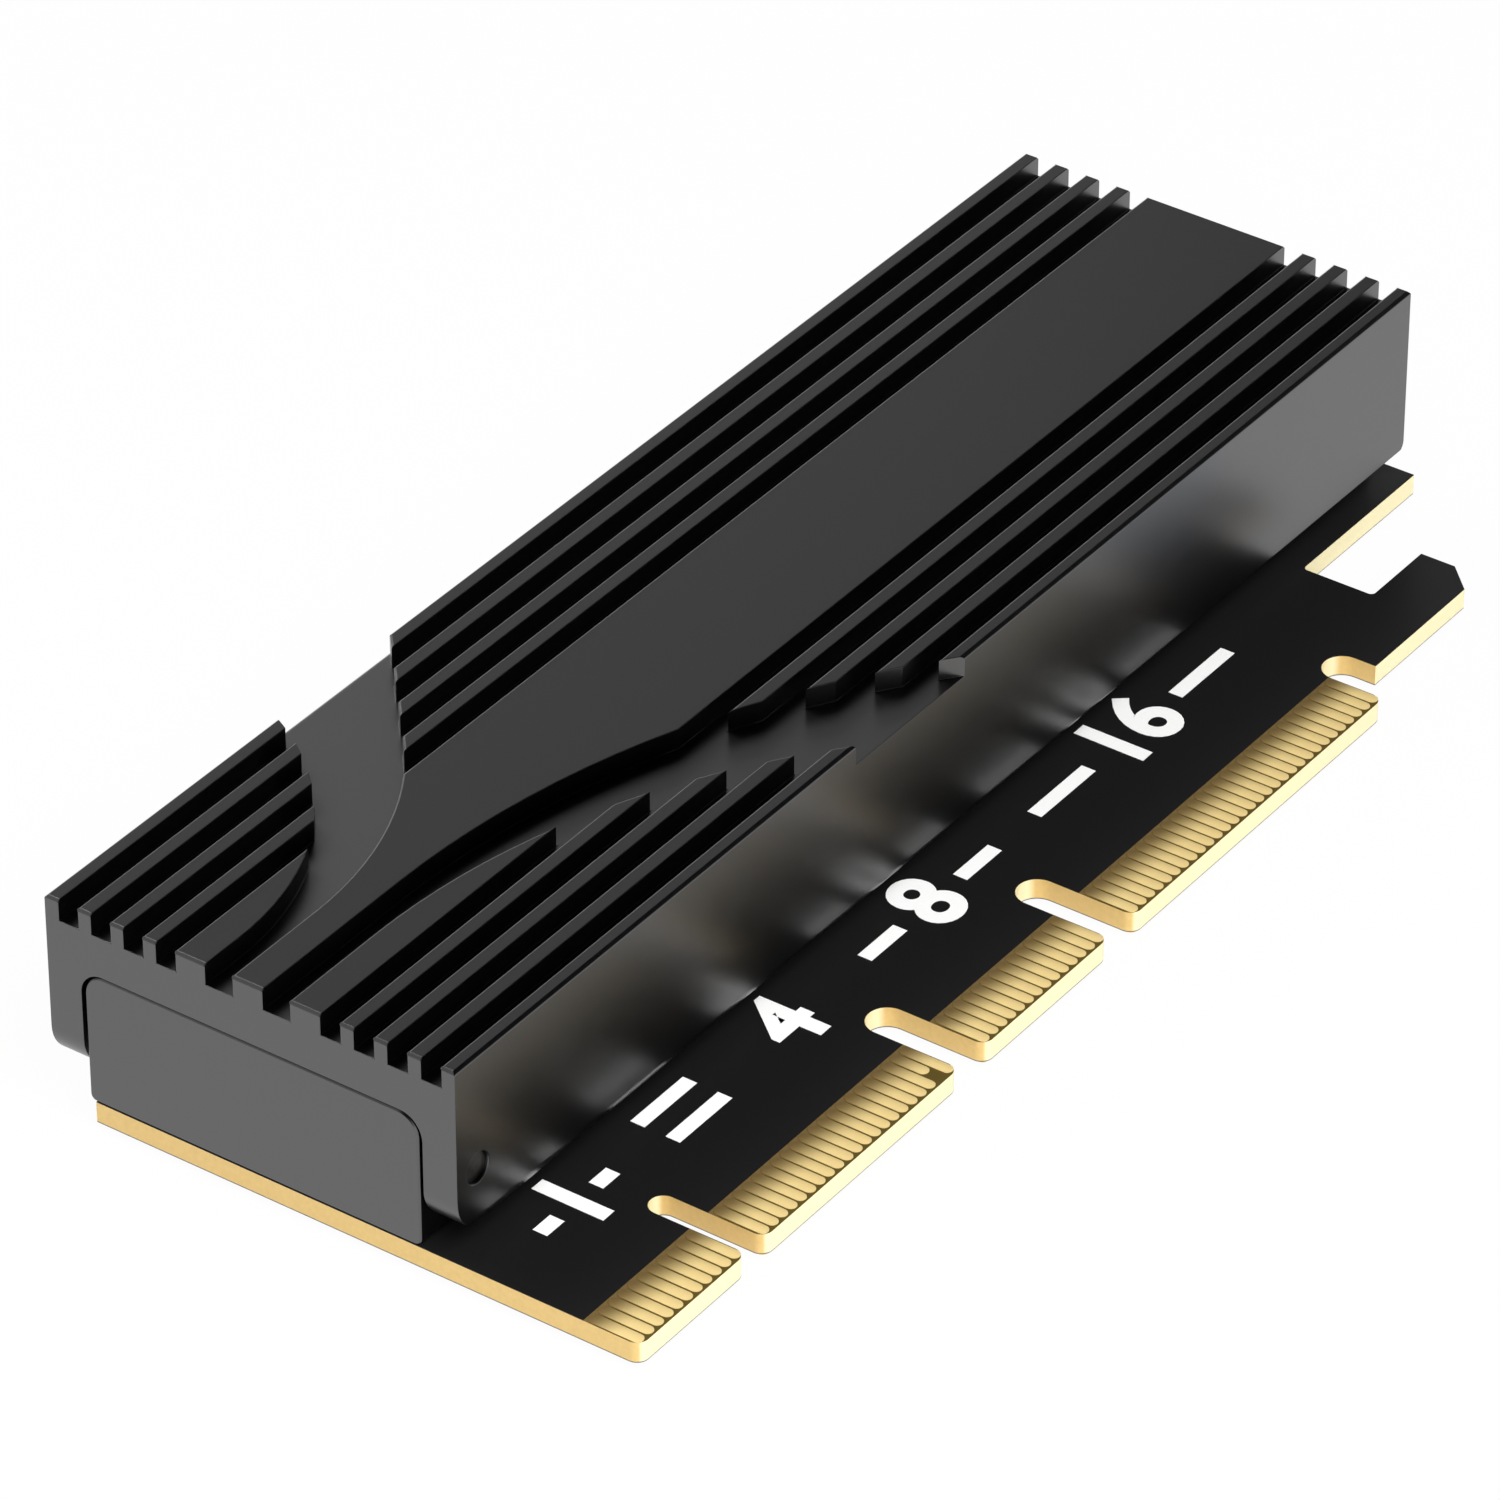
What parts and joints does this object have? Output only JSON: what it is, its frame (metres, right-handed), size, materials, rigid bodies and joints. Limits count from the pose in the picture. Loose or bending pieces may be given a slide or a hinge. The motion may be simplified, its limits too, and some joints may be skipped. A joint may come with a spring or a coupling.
{
  "type": "nvme adapter card",
  "caption": "Full-length edge-connector card carrying an M.2 drive bay under a two-piece finned heatsink with curved channels.",
  "frame": {"origin": "middle of the card's footprint, on the surface that its screw heads rest on", "axes": "+X towards the gold edge contacts, +Y along the card away from its rear-panel end, +Z from the board up to the fins"},
  "size_m": [0.0452, 0.1084, 0.0168],
  "materials": {
    "board": "black solder mask over glass-epoxy laminate, bare cream edges",
    "gold": "gold-plated copper",
    "cover_metal": "dark anodised, fine bead-blasted",
    "core_metal": "dark anodised, fine bead-blasted",
    "pin_metal": "blackened",
    "pad": "soft grey-blue silicone",
    "screw_steel": "nickel-plated",
    "support_brass": "plain turned brass",
    "socket_plastic": "moulded black liquid-crystal polymer",
    "lug_metal": "tinned",
    "ceramic": "fired ceramic with tinned ends",
    "resistor_body": "glazed ceramic with tinned ends",
    "led_lens": "clear moulded lens"
  },
  "bodies": {
    "root": {"circuit_board": "board", "edge_contacts_top": "gold", "edge_contacts_bottom": "gold", "heatsink_cover": "cover_metal", "heatsink_core": "core_metal", "cover_pins": "pin_metal", "thermal_pad": "pad", "core_screws": "screw_steel", "support_screw": "screw_steel", "drive_screw": "screw_steel", "drive_support": "support_brass", "m2_socket_housing": "socket_plastic", "socket_contacts_upper": "gold", "socket_contacts_lower": "gold", "socket_solder_lugs": "lug_metal", "bulk_capacitors": "ceramic", "small_capacitors": "ceramic", "resistors": "resistor_body", "status_led": "led_lens"}
  },
  "joints": []
}
